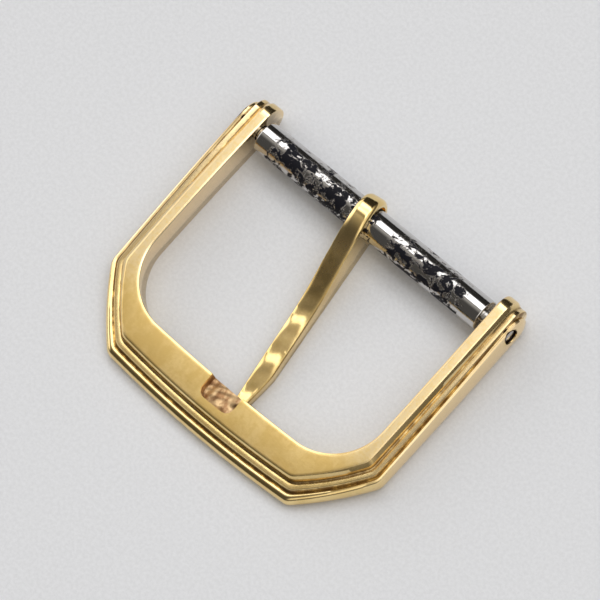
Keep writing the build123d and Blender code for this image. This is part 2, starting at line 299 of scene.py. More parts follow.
class FramePlan:
    """Plan lines of the frame's right half, from the ear's end to the middle of the crossbar.

    The inner family runs along the window, pushed out by an offset. The outer family runs along
    the outer wall, pushed in by a side inset and a front inset.
    """

    def __init__(self, s):
        self.s = s
        self.half = s.ear_gap / 2
        self.outer_half = self.half + s.ear_thickness
        self.length = s.window_length + s.crossbar_depth
        self.back = 2 * s.plateau_end + s.plateau_height

    def inner_side(self, offset, y):
        """x of the window's side: half the gap plus a bow that is nought at both ends."""
        foot = self.s.window_front_bow - self.s.window_length
        middle = -self.s.window_length / 2
        bow = (self.back - y) * (y - foot) / ((self.back - middle) * (middle - foot))
        return self.half + offset + self.s.window_side_bow * bow

    def inner_side_slope(self, y):
        """How fast x of the window's side grows with y."""
        foot = self.s.window_front_bow - self.s.window_length
        middle = -self.s.window_length / 2
        span = (self.back - middle) * (middle - foot)
        return self.s.window_side_bow * (self.back + foot - 2 * y) / span

    def inner_front(self, offset, x):
        """y of the window's front: a shallow arch, as the square of x."""
        return -self.s.window_length - offset + self.s.window_front_bow * (x / self.half) ** 2

    def inner_corner(self, offset, front_offset):
        """Centre, first and last angle of the rounding that touches side and front."""
        radius = self.s.window_radius + (offset + front_offset) / 2
        touch_y = -self.s.window_length + radius
        touch_x = self.half - radius
        for _ in range(CORNER_PASSES):
            side = self.inner_side_slope(touch_y)
            side_run = np.sqrt(1 + side**2)
            front = 2 * self.s.window_front_bow * touch_x / self.half**2
            front_run = np.sqrt(1 + front**2)
            centre_x = self.inner_side(offset, touch_y) - radius / side_run
            centre_y = self.inner_front(front_offset, touch_x) + radius / front_run
            touch_y = centre_y - radius * side / side_run
            touch_x = centre_x + radius * front / front_run
        first = np.arctan2(-side, 1.0)
        last = np.arctan2(-1.0, front)
        return centre_x, centre_y, radius, first, last, touch_x, touch_y

    def outer_side(self, inset, end, y):
        """x of the outer side: half the width less the inset, plus a bow."""
        middle = end / 2
        bow = (self.back - y) * (y - end) / ((self.back - middle) * (middle - end))
        return self.outer_half - inset + self.s.side_bow * bow

    def inner(self, offset, front_offset, cap_y, centre_y):
        """Inner plan lines, one per pair of offsets: cap rows, side, rounding, front."""
        cx, cy, radius, first, last, touch_x, touch_y = self.inner_corner(offset, front_offset)
        t = np.linspace(0, 1, SIDE_ROWS + 1)[1:]
        side_y = centre_y[:, None] + (touch_y - centre_y)[:, None] * t
        y = np.concatenate([cap_y, side_y], axis=1)
        side = np.stack([self.inner_side(offset[:, None], y), y], axis=-1)
        soft = SOFT_TURN_SHARE
        turn = np.concatenate(
            [
                np.linspace(0, soft, SOFT_ROWS + 1)[1:],
                np.linspace(soft, 1 - soft, CORNER_ROWS + 1)[1:],
                np.linspace(1 - soft, 1, SOFT_ROWS + 1)[1:],
            ]
        )
        angle = first[:, None] + (last - first)[:, None] * turn
        centre = np.stack([cx, cy], axis=-1)[:, None]
        corner = centre + radius[:, None, None] * np.stack([np.cos(angle), np.sin(angle)], axis=-1)
        x = touch_x[:, None] * (1 - np.linspace(0, 1, FRONT_ROWS + 1)[1:])
        front = np.stack([x, self.inner_front(front_offset[:, None], x)], axis=-1)
        return np.concatenate([side, corner, front], axis=1)

    def outer(self, side_inset, front_inset, cap_y, centre_y):
        """Outer plan lines, one per pair of insets: cap rows, side, corner cut, front."""
        s = self.s
        corner_inset = (side_inset + front_inset) / 2 * math.tan(math.pi / 8)
        side_end = -(s.window_length - s.corner_start - corner_inset)
        front_x = self.half - s.corner_end - corner_inset
        front_y = -(self.length - front_inset)
        first = np.stack([self.outer_half - side_inset, side_end], axis=-1)
        last = np.stack([front_x, front_y + s.front_bow], axis=-1)
        soft = s.corner_softness
        t = np.linspace(0, 1, SIDE_ROWS + 1)[1:]
        side_y = centre_y[:, None] + (side_end + soft - centre_y)[:, None] * t
        y = np.concatenate([cap_y, side_y], axis=1)
        side = np.stack([self.outer_side(side_inset[:, None], side_end[:, None], y), y], axis=-1)
        reach = soft / np.linalg.norm(last - first, axis=-1)
        share = reach[:, None] + (1 - 2 * reach)[:, None] * np.linspace(0, 1, CORNER_ROWS + 1)
        corner = self.bowed_rows(first, last, s.corner_bow, share)
        reach = soft / (2 * front_x)
        share = reach[:, None] + (0.5 - reach)[:, None] * np.linspace(0, 1, FRONT_ROWS + 1)
        front = self.bowed_rows(last, last * np.array([-1, 1]), s.front_bow, share)
        side_turn = self.soft_turn(side[:, -1], first, corner[:, 0])
        front_turn = self.soft_turn(corner[:, -1], last, front[:, 0])
        return np.concatenate([side, side_turn, corner[:, 1:], front_turn, front[:, 1:]], axis=1)

    @staticmethod
    def bowed_rows(first, last, bow, share):
        """Chord plus a bow, at a share of the way that differs from line to line."""
        chord = last - first
        normal = np.stack([chord[..., 1], -chord[..., 0]], axis=-1)
        normal = normal / np.linalg.norm(normal, axis=-1, keepdims=True)
        normal = normal * np.sign(normal[:, :1] + normal[:, 1:] * -1)
        share = share[..., None]
        bulge = normal[:, None] * bow * 4 * share * (1 - share)
        return first[:, None] + chord[:, None] * share + bulge

    @staticmethod
    def soft_turn(before, corner, after):
        """Quadratic curve from before to after that leans on the corner."""
        t = np.linspace(0, 1, SOFT_ROWS + 1)[1:][None, :, None]
        before, corner, after = before[:, None], corner[:, None], after[:, None]
        return before * (1 - t) ** 2 + corner * 2 * t * (1 - t) + after * t**2


INNER, PLATEAU, LEDGE, BEAD = range(4)
# Plateau, ledge and bead sink along the arms as this power of the way to the front
SINK_POWERS = (2.2, 1.6, 1.1)
# Share of the satin that the rounded ears keep
NOSE_SATIN_SHARE = 0.15
# The bead's outer flank, as shares of its width and of its height: top and drop, under and rise
BEAD_FLANK_SHARES = (
    (0.42, 0.025, 0.55, 0.02),
    (0.24, 0.10, 0.36, 0.07),
    (0.10, 0.22, 0.20, 0.15),
    (0.03, 0.36, 0.07, 0.26),
    (0, 0.50, 0, 0.38),
)


def frame_section(s):
    """Section of the frame from the inner wall out to the bead, as rows of offsets and heights.

    Top: side offset, front offset, drop below the tier's height at the ears and at the front.
    Bottom, which each row meets round the ear: side offset, front offset, rise at the ears and at
    the front. Last comes how much grime, which is dirt and painted shade, how much satin, and how
    much pale gold, which along the arms is a painted reflection and highlight, the row has.
    """
    e = s.edge
    ps, pf = s.plateau_side, s.plateau_front
    ls, lf = s.ledge_side, s.ledge_front
    bs, bf = s.bead_side, s.bead_front
    flank = [
        (
            BEAD,
            (bs * out, bf * out, s.bead_height * drop, s.bead_sunk * drop),
            (bs * under, bf * under, s.bead_height * rise, s.bead_sunk * rise),
            0,
            0,
            1,
        )
        for out, drop, under, rise in BEAD_FLANK_SHARES
    ]
    # Grime marks the feet of the steps with dirt and painted shade; pale marks the walls, whose pale
    # gold along the arms is a painted reflection of the board
    return [
        (INNER, (0, 0, 0.045, 0.045), (0, 0, e, e), 0, 0, 1),
        (INNER, (0.02, 0.02, 0.022, 0.022), (e / 3, e / 3, e / 3, e / 3), 0, 0, 1),
        (INNER, (0.09, 0.09, 0.008, 0.008), (e, e, 0, 0), 0, 0.2, 0.8),
        (INNER, (0.12, 0.12, 0.001, 0.001), (0.14, 0.17, 0, 0), 0, 0.9, 0.3),
        (INNER, (0.17, 0.22, 0, 0), (0.17, 0.20, 0, 0), 0, 1, 0.3),
        (PLATEAU, (ps + 0.16, pf + 0.20, 0, 0.01), (ps + 0.12, pf + 0.12, 0, 0), 0, 1, 0.3),
        (PLATEAU, (ps + 0.12, pf + 0.12, 0.005, 0.02), (ps + 0.10, pf + 0.10, 0, 0), 0, 0.9, 0.3),
        (PLATEAU, (ps + 0.05, pf + 0.05, 0.02, 0.04), (ps + 0.05, pf + 0.05, 0, 0), 0, 0.3, 0.7),
        (PLATEAU, (ps + 0.01, pf + 0.01, 0.06, 0.09), (ps + 0.01, pf + 0.01, 0, 0), 0, 0, 0.3),
        (PLATEAU, (ps - 0.13, pf - 0.05, 0.21, 0.24), (ps - 0.13, pf - 0.05, 0, 0), 0.3, 0, 0),
        (LEDGE, (ps - 0.17, pf - 0.09, 0, -0.02), (ps - 0.17, pf - 0.09, 0, 0), 0.8, 0, 0),
        (LEDGE, (ps - 0.23, pf - 0.14, 0.04, 0.03), (ps - 0.23, pf - 0.14, 0, 0), 1, 0, 0),
        (LEDGE, (ps - 0.29, pf - 0.19, 0.02, 0.015), (ps - 0.29, pf - 0.19, 0, 0), 0.2, 0.3, 0.3),
        (LEDGE, (ls + 0.06, lf + 0.06, 0.01, 0.02), (ls + 0.06, lf + 0.06, 0, 0), 0, 0.3, 0.5),
        (LEDGE, (ls, lf, 0, 0.02), (ls, lf, 0, 0), 0, 0, 0.8),
        (LEDGE, (ls - 0.03, lf - 0.03, 0.02, 0.05), (ls - 0.03, lf - 0.03, 0, 0), 0, 0, 0.5),
        (LEDGE, (ls - 0.05, lf - 0.06, 0.05, 0.11), (ls - 0.05, lf - 0.06, 0, 0), 1, 0, 0),
        (BEAD, (bs, bf, 0.04, 0.08), (bs, bf, 0, 0), 1, 0, 0),
        (BEAD, (bs * 0.86, bf * 0.86, 0.01, 0.03), (bs * 0.86, bf * 0.86, 0, 0), 0.6, 0, 0.2),
        (BEAD, (bs * 0.64, bf * 0.64, 0, 0), (bs * 0.74, bf * 0.74, 0, 0), 0, 0, 0.7),
        *flank,
    ]


def frame_surface(s):
    """Grid of the whole frame, and its grime, satin and pale marks.
    Grime carries dirt and painted shade, and pale carries a painted reflection.

    It is the stepped section carried along the plan lines, top and bottom, and round at the ears.
    Along a line the height is the tier's ear height less a sink that grows as a power of the way to
    the front. Past the tier's centre the line runs half round a circle from its top to its bottom.
    """
    plan = FramePlan(s)
    rows = frame_section(s)
    family = np.array([row[0] for row in rows])
    top = np.array([row[1] for row in rows], float)
    bottom = np.array([row[2] for row in rows], float)
    inner = family == INNER
    tier = np.where(inner, PLATEAU, family) - PLATEAU
    ear = np.array([s.plateau_height, s.ledge_height, s.bead_height])[tier][:, None]
    front = np.array([s.plateau_sunk, s.ledge_sunk, s.bead_sunk])[tier][:, None]
    centre = np.array([s.plateau_end, s.ledge_end, s.bead_end])[tier]
    power = np.array(SINK_POWERS)[tier][:, None]
    end = (top + bottom) / 2
    turn = np.linspace(math.pi / 2, 0, CAP_ROWS + 1)
    ease = np.sin(turn)[None, :]
    high = ear[:, 0] - top[:, 2]
    low = bottom[:, 2]
    middle = ((high + low) / 2)[:, None]
    radius = ((high - low) / 2)[:, None]
    cap_y = centre[:, None] + radius * np.sin(turn)
    total = CAP_ROWS + 1 + SIDE_ROWS + 2 * SOFT_ROWS + CORNER_ROWS + FRONT_ROWS
    halves = []
    for sign, side in ((1, top), (-1, bottom)):
        lines = np.empty((len(rows), total, 2))
        lines[inner] = plan.inner(side[inner, 0], side[inner, 1], cap_y[inner], centre[inner])
        lines[~inner] = plan.outer(side[~inner, 0], side[~inner, 1], cap_y[~inner], centre[~inner])
        way = np.clip((centre[:, None] - lines[..., 1]) / (centre[:, None] + plan.length), 0, 1)
        sunk = way**power
        tall = ear - (ear - front) * sunk if sign > 0 else 0
        z = tall - sign * (side[:, 2:3] + (side[:, 3:] - side[:, 2:3]) * sunk)
        z[:, : CAP_ROWS + 1] = middle + sign * radius * np.cos(turn)
        points = np.concatenate([lines, z[..., None]], axis=-1)
        shift = (end - side)[:, :1] * ease
        points[:, : CAP_ROWS + 1, 0] += np.where(inner[:, None], shift, -shift)
        halves.append(points)
    ring = np.concatenate([halves[0], halves[1][::-1]]).transpose(1, 0, 2)
    mirrored = ring[::-1][1:] * np.array([-1, 1, 1])
    whole = np.concatenate([ring, mirrored])
    whole[..., 1] += BAR_Y
    look = np.array([row[3:] for row in rows], float)
    look = np.concatenate([look, np.broadcast_to([0, 0, 1], look.shape)])
    look = np.broadcast_to(look, (*whole.shape[:2], 3)).copy()
    look[:CAP_ROWS, :, 1] *= NOSE_SATIN_SHARE
    look[-CAP_ROWS:, :, 1] *= NOSE_SATIN_SHARE
    return whole, look


def relief_pocket(s):
    """Cutter for the hollow under the crossbar: a plan with two round corners, carried upwards."""
    half, radius = s.relief_width / 2, s.relief_corner
    start = OVERRUN - s.window_length
    end = -s.window_length - s.relief_reach
    right = arc_line((half - radius, end + radius), radius, -90, 0, 9)
    left = arc_line((radius - half, end + radius), radius, 180, 270, 9)
    outline = np.concatenate([right, [[half, start], [-half, start]], left])
    count = len(outline)
    layers = [np.column_stack([outline, np.full(count, z)]) for z in (-OVERRUN, s.relief_height)]
    points = np.concatenate(layers)
    points[:, 1] += BAR_Y
    faces = grid_faces(2, count).tolist() + [list(range(count)), list(range(count, 2 * count))]
    return closed_mesh("relief", points, faces)


# The notch's hewn floor is a sum of waves: turn per millimetre in x and in y and phase, all in
# radians, and depth in millimetres. Their phases are bent by one more wave
NOTCH_WAVES = ((4, 3, 0.3, 0.020), (-7, 5, 1.7, 0.010), (13, 3, 0.9, 0.006), (5, -15, 2.2, 0.006))
NOTCH_BEND = 1.5
NOTCH_GRID = (90, 80)
# The cutter goes this far past the outline, and there it climbs by this height for each such
# width, up to twice
NOTCH_MARGIN = 0.3
NOTCH_CLIMB_WIDTH = 0.06
NOTCH_CLIMB_HEIGHT = 0.75


def notch_pocket(s, high):
    """Cutter for the notch: a rough floor that climbs steeply at a round-cornered outline.

    The height is the floor plus a sum of sines, plus a climb with the distance past the outline.
    """
    half = s.notch_width / 2
    start = OVERRUN - s.window_length
    end = -s.window_length - s.notch_reach
    across = np.linspace(-half - NOTCH_MARGIN, half + NOTCH_MARGIN, NOTCH_GRID[0])
    along = np.linspace(start, end - NOTCH_MARGIN, NOTCH_GRID[1])
    x, y = np.meshgrid(across, along, indexing="ij")
    outside_x = np.abs(x) - half + s.notch_corner
    outside_y = end + s.notch_corner - y
    outside = np.hypot(np.maximum(outside_x, 0), np.maximum(outside_y, 0))
    outside = outside + np.minimum(np.maximum(outside_x, outside_y), 0) - s.notch_corner
    bend = NOTCH_BEND * np.sin(3 * y - 2 * x)
    waves = np.zeros_like(x)
    for per_x, per_y, phase, depth in NOTCH_WAVES:
        waves += depth * np.sin(per_x * x + per_y * y + phase + bend)
    climb = np.clip(0.5 + (outside + waves / 2) / NOTCH_CLIMB_WIDTH, 0, 2)
    z = s.notch_floor + waves * (1 - np.clip(climb, 0, 1)) + NOTCH_CLIMB_HEIGHT * climb
    place = np.stack([x + s.notch_offset, y + BAR_Y, z], axis=-1)
    rows, columns = x.shape
    here = np.arange(rows * columns).reshape(rows, columns)
    rim = np.concatenate([here[:, 0], here[-1, 1:], here[-2::-1, -1], here[0, -2:0:-1]])
    lid = rows * columns + np.arange(len(rim))
    floor = np.stack([here[:-1, :-1], here[1:, :-1], here[1:, 1:], here[:-1, 1:]], axis=-1)
    walls = np.stack([rim, np.roll(rim, -1), np.roll(lid, -1), lid], axis=-1)
    faces = floor.reshape(-1, 4).tolist() + walls.tolist() + [lid.tolist()]
    place = place.reshape(-1, 3)
    top = place[rim] * (1, 1, 0) + (0, 0, high)
    points = np.concatenate([place, top])
    return closed_mesh("notch", points, faces, marks={"satin": np.ones(len(points))})


def hole_plug(s, bar, side):
    """Cutter for the pivot's hole through one ear: a cylinder about the bar's axis."""
    near = s.ear_gap / 2 - OVERRUN / 2
    far = s.ear_gap / 2 + s.ear_thickness + OVERRUN
    hole = bar.pivot_diameter / 2 + s.hole_play
    line = np.array([(near, 0), (far, 0), (far, hole), (near, hole)])
    return turned("hole", line * np.array([side, 1]))


# What the marks are on top of the crossbar, and how near to the notch its cut leaves corners
TOP_MARKS = {"satin": 1, "grime_and_shade": 0, "pale": 0.3}
RIM_REACH = 0.1
RIM_DEPTH = 0.03


def mark_notch_rim(mesh, s):
    """Give the corners that the notch's cut leaves on top of the crossbar the marks of that top."""
    places = np.empty(len(mesh.vertices) * 3)
    mesh.vertices.foreach_get("co", places)
    x, y, z = places.reshape(-1, 3).T / MM
    beside = np.abs(x - s.notch_offset) - s.notch_width / 2
    beyond = np.abs(y - BAR_Y + s.window_length + s.notch_reach / 2) - s.notch_reach / 2
    rim = (np.maximum(beside, beyond) < RIM_REACH) & (z > s.plateau_sunk - RIM_DEPTH)
    for mark, value in TOP_MARKS.items():
        data = mesh.attributes[mark].data
        values = np.empty(len(data))
        data.foreach_get("value", values)
        values[rim] = value
        data.foreach_set("value", values)


class BUCKLE_OT_frame(Operator):
    """Build the stepped frame with its notch, relief and pivot holes"""

    bl_idname = "buckle.frame"
    bl_label = "Buckle Frame"

    def execute(self, context):
        s = millimetres(context.scene.buckle_frame_sizes)
        bar = millimetres(context.scene.buckle_bar_sizes)
        grid, look = frame_surface(s)
        faces = grid_faces(grid.shape[0], grid.shape[1]).tolist()
        marks = {"grime_and_shade": look[..., 0], "satin": look[..., 1], "pale": look[..., 2]}
        piece = closed_mesh("stepped_frame", grid.reshape(-1, 3), faces, marks=marks)
        cutters = [notch_pocket(s, s.plateau_height + OVERRUN), relief_pocket(s)]
        cutters += [hole_plug(s, bar, side) for side in (1, -1)]
        cut(piece, cutters)
        mark_notch_rim(piece.data, s)
        finish_piece(piece, frame_gold(context), "frame", "frame_gold", "buckle_frame")
        return {"FINISHED"}


# Tang


# Where the tang's heights are given, as shares of the blade's length
HEIGHT_SHARES = (0, 0.21, 0.41, 0.70, 1)
# The bevels' widths at these distances from the bar, then at the tip, in millimetres
RING_BEVEL = 0.20
LEFT_BEVEL_AT, LEFT_BEVELS = (0, 1.5, 3.8), (RING_BEVEL, 0.26, 0.12, 0.10)
RIGHT_BEVEL_AT, RIGHT_BEVELS = (0, 2.0, 6.5), (RING_BEVEL, 0.10, 0.15, 0.15)
# The ring's edges turn into the blade's between these places, as y from the bar's axis
RING_LOOK = (-1.6, -0.2)
# The waves start here, reach their depth over this length, and end over the last stretch
WAVE_START, WAVE_RISE, WAVE_END = 3.8, 2.0, 0.6
# The waves begin anew at this distance from the bar, run aslant by this share, and carry an
# overtone of this share
WAVE_ORIGIN, WAVE_SLANT_SHARE, OVERTONE_SHARE = 6.3, 0.45, 0.4
BLADE_ROWS = 110
TIP_ROWS = 6
RING_ROWS = 24
# Places across the top, as shares of its width between the bevels
TOP_SHARES = (0.1, 0.3, 0.5, 0.7, 0.9)
# Rounding along the foot, and how much the top is crowned
FOOT_EDGE = 0.04
CROWN = 0.012
# The blade narrows to its tip as this power, and its edges shrink where it is thinner than this
TAPER_POWER = 1.2
FULL_THICKNESS = 0.3
# Satin from this distance ahead of the bar, over this length, up to this much
TANG_SATIN_START, TANG_SATIN_RUN, TANG_SATIN_MOST = 1.2, 4, 0.3
# Painted shade on top of the neck, standing in for a dark reflection: at these distances,
# on these columns of the section
TANG_NECK_SHADE_AT, TANG_NECK_SHADE = (0.6, 1.6, 4.2, 5.8), (0, 0.55, 0.45, 0)
TOP_COLUMNS = slice(5, 12)


def tang_surface(s, blade):
    """Grid of the tang: one bevelled section carried along the blade and round behind the bar.

    Along the blade the top follows a smooth curve through the given heights, with shallow waves
    that run aslant, each a sine and its first overtone. Behind the bar's axis the top and the foot
    run round a circle. A row of the section is (x, depth under the skin, 1 for top or -1 for foot).
    """
    radius = BAR_Z - s.foot
    heights = (BAR_Z + radius, s.neck_height, s.middle_height, s.thin_height, s.tip_height)
    start = blade - s.tip_round
    rounding = s.tip_round * np.sin(np.linspace(0, math.pi / 2, TIP_ROWS + 1)[1:])
    along = np.concatenate([np.linspace(0, start, BLADE_ROWS), start + rounding])
    top = smooth_curve(np.array(HEIGHT_SHARES) * blade, np.array(heights), along)
    turned_in = np.clip(along - start, 0, None) / s.tip_round
    bite = s.tip_round * (1 - np.sqrt(np.clip(1 - turned_in**2, 0, 1)))
    narrow = np.clip((along - blade + s.taper) / s.taper, 0, 1) ** TAPER_POWER
    right = s.width / 2 + (s.tip_width / 2 - s.tip_shift - s.width / 2) * narrow - bite
    left = s.width / 2 + (s.tip_width / 2 + s.tip_shift - s.width / 2) * narrow - bite
    left_bevel = np.interp(along, (*LEFT_BEVEL_AT, blade), LEFT_BEVELS)
    right_bevel = np.interp(along, (*RIGHT_BEVEL_AT, blade), RIGHT_BEVELS)
    turn = np.linspace(math.pi / 2, 0, RING_ROWS + 1)[:-1]
    ring_width = np.full(RING_ROWS, s.width / 2)
    ring_bevel = np.full(RING_ROWS, RING_BEVEL)
    right, left = (np.concatenate([ring_width, line]) for line in (right, left))
    left_bevel, right_bevel = (np.concatenate([ring_bevel, line]) for line in (left_bevel, right_bevel))
    y = np.concatenate([radius * np.sin(turn), -along])
    top = np.concatenate([BAR_Z + radius * np.cos(turn), top - bite])
    foot = np.concatenate([BAR_Z - radius * np.cos(turn), np.full_like(along, s.foot)])
    back = np.concatenate([np.sin(turn), np.zeros_like(along)])
    up = np.concatenate([np.cos(turn), np.ones_like(along)])
    thin = np.clip((top - foot) / FULL_THICKNESS, 0, 1) * (1 - back) + back
    ring = np.interp(y, RING_LOOK, (0, 1))
    fade = np.clip((-y - WAVE_START) / WAVE_RISE, 0, 1) * np.clip((blade + y) / WAVE_END, 0, 1)
    edge = FOOT_EDGE
    section = [
        (-left + edge + (left_bevel - edge) * back, CROWN * back, -1),
        (-left + 0.012 + 0.048 * back, (0.012 + 0.073 * back) * thin, -1),
        (-left, (edge + (0.19 - edge) * back) * thin, -1),
        (-left, (0.09 + 0.10 * ring) * thin, 1),
        (-left + 0.04 + 0.02 * ring, (0.035 + 0.05 * ring) * thin, 1),
        (-left + left_bevel, CROWN * thin, 1),
    ]
    for share in TOP_SHARES:
        x = -left + left_bevel + (left + right - left_bevel - right_bevel) * share
        phase = 2 * math.pi * (-y - WAVE_ORIGIN + WAVE_SLANT_SHARE * x) / s.wave_length
        wave = np.sin(phase) + OVERTONE_SHARE * np.sin(2 * phase)
        section.append((x, CROWN * (2 * share - 1) ** 2 - s.wave * wave * fade, 1))
    section += [
        (right - right_bevel, 0.014, 1),
        (right - 0.05 - 0.02 * ring, (0.006 + right_bevel * 0.2 + 0.04 * ring) * thin, 1),
        (right, (0.06 + right_bevel * 0.2 + 0.10 * ring) * thin, 1),
        (right, (edge + (0.20 - edge) * back) * thin, -1),
        (right - 0.012 - 0.058 * back, (0.012 + 0.074 * back) * thin, -1),
        (right - edge - (right_bevel - edge) * back, 0.014 * back, -1),
    ]
    rows = []
    for x, depth, side in section:
        skin = top if side > 0 else foot
        rows.append(np.stack([x, y - depth * back, skin - side * depth * up], axis=-1))
    return np.stack(rows, axis=1)


def smooth_curve(knots, values, at):
    """Cubic curve through the knots: flat at both ends, elsewhere as steep as its neighbours ask."""
    slope = np.zeros_like(values)
    run = np.diff(knots)
    rise = np.diff(values) / run
    slope[1:-1] = (rise[:-1] * run[1:] + rise[1:] * run[:-1]) / (run[:-1] + run[1:])
    place = np.clip(np.searchsorted(knots, at, side="right") - 1, 0, len(knots) - 2)
    t = (at - knots[place]) / run[place]
    low, high = values[place], values[place + 1]
    leave, arrive = slope[place] * run[place], slope[place + 1] * run[place]
    ends = low * (1 + 2 * t) * (1 - t) ** 2 + high * t**2 * (3 - 2 * t)
    return ends + leave * t * (1 - t) ** 2 - arrive * t**2 * (1 - t)


class BUCKLE_OT_tang(Operator):
    """Build the tang: ring, bevelled blade and blunt tip"""

    bl_idname = "buckle.tang"
    bl_label = "Tang"

    def execute(self, context):
        s = millimetres(context.scene.buckle_tang_sizes)
        yaw = context.scene.buckle_tang_sizes.yaw
        frame_sizes = millimetres(context.scene.buckle_frame_sizes)
        blade = frame_sizes.window_length + s.overlap
        grid = tang_surface(s, blade)
        rows, columns = grid.shape[:2]
        tip = list(range((rows - 1) * columns, rows * columns))
        faces = grid_faces(rows, columns).tolist() + [tip]
        ahead = -grid[..., 1]
        top = np.zeros((rows, columns))
        top[:, TOP_COLUMNS] = 1
        marks = {
            "satin": np.clip((ahead - TANG_SATIN_START) / TANG_SATIN_RUN, 0, TANG_SATIN_MOST),
            # Painted shade on top of the tang's neck, standing in for a dark reflection
            "grime_and_shade": top * np.interp(ahead, TANG_NECK_SHADE_AT, TANG_NECK_SHADE),
            "pale": np.zeros_like(ahead),
        }
        piece = closed_mesh("tang_blade", grid.reshape(-1, 3), faces, marks=marks)
        bore = (BAR_BOX[1][2] - BAR_BOX[0][2]) / 2 / MM + s.bore_gap
        reach = 2 * OVERRUN
        profile = [(-reach, 0), (reach, 0), (reach, bore), (-reach, bore)]
        cutter = turned("bore", profile, sides=128)
        cutter.data.transform(Matrix.Translation((0, -BAR_Y * MM, 0)))
        cut(piece, [cutter])
        offset = s.tip_offset - blade * math.sin(yaw)
        place = Matrix.Translation((offset * MM, BAR_Y * MM, 0)) @ Matrix.Rotation(yaw, 4, "Z")
        piece.data.transform(place)
        finish_piece(piece, tang_gold(context), "tang", "tang_gold", "tang")
        return {"FINISHED"}


# Spring bar


# Small edges of the pivots, in millimetres
HEAD_CHAMFER = 0.05
SHOULDER_CHAMFER = 0.03
PIN_ROUND = 0.10
# Steps along a turn of the spring and round its wire, its gap at each end, and its sharp angle
COIL_STEPS = 24
WIRE_SIDES = 8
COIL_END_GAP = 0.01
WIRE_SHARP_ANGLE = 60


def bar_profile(s, half, radius):
    """Closed profile of the tube: rolled edges outside, a lip at each end, and the bore inside."""
    lip = s.pivot_diameter / 2 + s.clearance
    bore = radius - s.wall
    edge = s.end_round
    right = arc_line((half - edge, radius - edge), edge, 90, 0, 9)
    left = right[::-1] * np.array([-1, 1])
    inner = np.array([(half, lip), (half - s.lip, lip), (half - s.lip, bore)])
    return np.concatenate([left, right, inner, inner[::-1] * np.array([-1, 1])])


def pivot_profile(s, half, radius, inner_end, outer_end):
    """Closed profile of a pivot: a chamfered head behind the lip, and a pin with a rounded end."""
    pin = s.pivot_diameter / 2
    head = radius - s.wall - s.clearance
    shoulder = half - s.lip
    return np.array(
        [
            (inner_end, 0),
            (inner_end, head - HEAD_CHAMFER),
            (inner_end + HEAD_CHAMFER, head),
            (shoulder - SHOULDER_CHAMFER, head),
            (shoulder, head - SHOULDER_CHAMFER),
            (shoulder, pin),
            (outer_end - 0.8 * PIN_ROUND, pin),
            (outer_end - 0.2 * PIN_ROUND, pin - 0.5 * PIN_ROUND),
            (outer_end, pin - PIN_ROUND),
            (outer_end, 0),
        ]
    )


def half_coil(name, wire, radius, side, reach, turns):
    """Half of the spring: a round wire whose middle runs round a circle as it goes along the bar.

    side is 1 for the right half and -1 for the left. The wire ends short of the pivot's head.
    """
    share = np.linspace(0, 1, turns * COIL_STEPS + 1)
    angle = (2 * math.pi * turns * share)[:, None]
    first = wire / 2 + COIL_END_GAP
    along = side * (first + (reach - 2 * first) * share)
    turn = np.linspace(0, 2 * math.pi, WIRE_SIDES, endpoint=False)[None, :]
    out = radius + wire / 2 * np.cos(turn)
    x = along[:, None] + wire / 2 * np.sin(turn)
    points = np.stack([x, BAR_Y + out * np.cos(angle), BAR_Z + out * np.sin(angle)], axis=-1)
    rows, columns = points.shape[:2]
    ends = [list(range(columns)), list(range((rows - 1) * columns, rows * columns))]
    faces = grid_faces(rows, columns).tolist() + ends
    return closed_mesh(name, points.reshape(-1, 3), faces, WIRE_SHARP_ANGLE)


class BUCKLE_OT_spring_bar(Operator):
    """Build the spring bar's tube, its two pivots and the coil spring"""

    bl_idname = "buckle.spring_bar"
    bl_label = "Spring Bar"

    def execute(self, context):
        s = millimetres(context.scene.buckle_bar_sizes)
        half = (BAR_BOX[1][0] - BAR_BOX[0][0]) / 2 / MM
        radius = (BAR_BOX[1][2] - BAR_BOX[0][2]) / 2 / MM
        tube = turned("spring_bar", bar_profile(s, half, radius), sides=160)
        finish_piece(tube, bar_steel(context), "spring_bar", "bar_steel", "spring_bar_tube")
        steel = plain_steel("pivot_steel", context)
        for side, name in ((1, "right_pivot"), (-1, "left_pivot")):
            inner_end, outer_end = sorted(abs(corner[0]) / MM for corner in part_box(name))
            profile = pivot_profile(s, half, radius, inner_end, outer_end)
            piece = turned(name + "_pin", profile * np.array([side, 1]), sides=64)
            finish_piece(piece, steel, name, "pivot_steel", name)
        coil = plain_steel("spring_steel", context)
        turns = context.scene.buckle_bar_sizes.turns
        coil_radius = radius - s.wall - s.spring_gap - s.wire / 2
        for side, name in ((1, "right"), (-1, "left")):
            piece = half_coil(f"bar_spring_{name}", s.wire, coil_radius, side, inner_end, turns)
            finish_piece(piece, coil, "spring_bar", "spring_steel", "bar_spring")
            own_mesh(piece)
        return {"FINISHED"}


# Materials


class Value:
    """A socket of a node tree; the operators add Math nodes."""

    def __init__(self, paint, socket):
        self.paint = paint
        self.socket = socket

    def math(self, operation, *terms):
        return self.paint.node("ShaderNodeMath", {"operation": operation}, dict(enumerate(terms)))

    def __add__(self, other):
        return self.math("ADD", self, other)

    __radd__ = __add__

    def __sub__(self, other):
        return self.math("SUBTRACT", self, other)

    def __rsub__(self, other):
        return self.math("SUBTRACT", other, self)

    def __mul__(self, other):
        return self.math("MULTIPLY", self, other)

    __rmul__ = __mul__

    def rise(self, low, high):
        """0 below low, 1 above high, smooth between."""
        settings = {"interpolation_type": "SMOOTHSTEP"}
        return self.paint.node("ShaderNodeMapRange", settings, {0: self, 1: low, 2: high})

    def band(self, low, high, soft):
        """1 between low and high, 0 outside, smooth over the soft width."""
        return self.rise(low - soft, low + soft) * (1 - self.rise(high - soft, high + soft))


